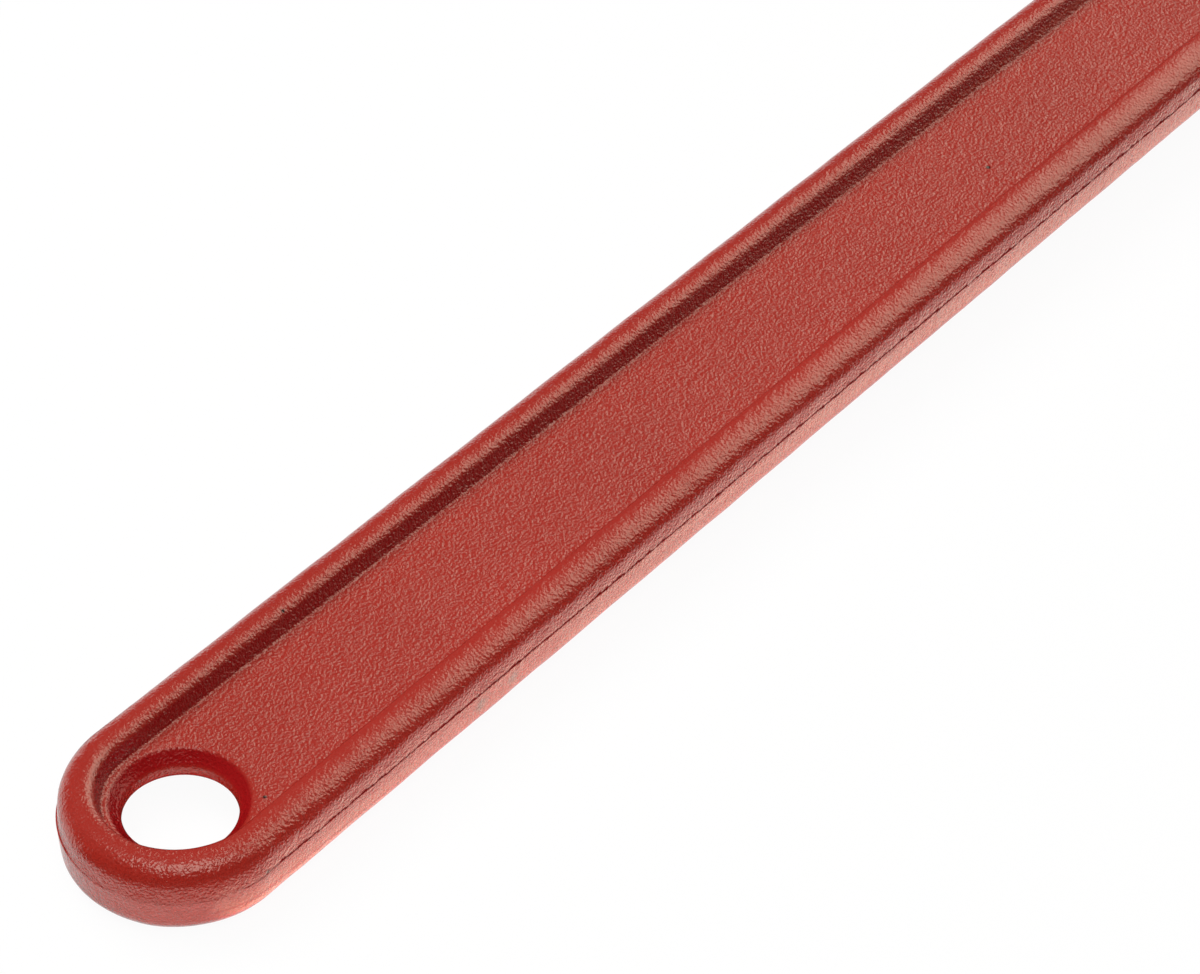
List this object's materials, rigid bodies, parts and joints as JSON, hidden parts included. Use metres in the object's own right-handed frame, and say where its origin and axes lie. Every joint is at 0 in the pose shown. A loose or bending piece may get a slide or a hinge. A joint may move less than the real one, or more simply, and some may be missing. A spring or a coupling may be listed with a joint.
{
  "type": "pipe wrench",
  "caption": "Pipe wrench with a red forged I-beam handle, a hanging hole, a pivoted frame, a toothed heel jaw, and a hook jaw that a fluted nut drives along its thread.",
  "frame": {"origin": "centre of the hanging hole, at half the handle's thickness", "axes": "+X along the handle towards the jaws, -Y the side the mouth opens to, +Z along the hanging hole and up when the wrench lies on its side"},
  "size_m": [0.578, 0.1001, 0.038],
  "materials": {
    "red_paint": "semi-gloss red paint over blasted forged steel",
    "jaw_steel": "black phosphate with worn bright teeth",
    "nut_steel": "black oxide, fluted",
    "pin_steel": "plain turned steel",
    "spring_steel": "blued spring steel"
  },
  "bodies": {
    "handle": {"handle": "red_paint", "heel_jaw": "jaw_steel", "heel_jaw_pin": "pin_steel", "pivot_pin": "pin_steel", "frame_spring": "spring_steel", "frame_spring_rivet": "pin_steel"},
    "frame": {"frame": "red_paint", "jaw_spring": "spring_steel", "jaw_spring_rivet": "pin_steel"},
    "nut": {"adjusting_nut": "nut_steel"},
    "hook_jaw": {"hook_jaw": "jaw_steel"}
  },
  "joints": [
    {"name": "frame_pivot", "type": "hinge", "parent": "handle", "child": "frame", "pos_m": [0.407, -0.0225, 0], "axis": [0, 0, 1], "range_deg": [-4, 2], "stiffness_Nm_per_rad": 60, "deforming": ["frame_spring"]},
    {"name": "nut_turn", "type": "hinge", "parent": "frame", "child": "nut", "pos_m": [0.407, 0.013, 0], "axis": [1, 0, 0], "range_deg": [-2700.5, 1320.5]},
    {"name": "jaw_slide", "type": "slide", "parent": "frame", "child": "hook_jaw", "axis": [1, 0, 0], "range_m": [-0.022, 0.045]}
  ],
  "couplings": [
    {"joint": "nut_turn", "follows": "jaw_slide", "rad_per_m": -1047.2}
  ]
}
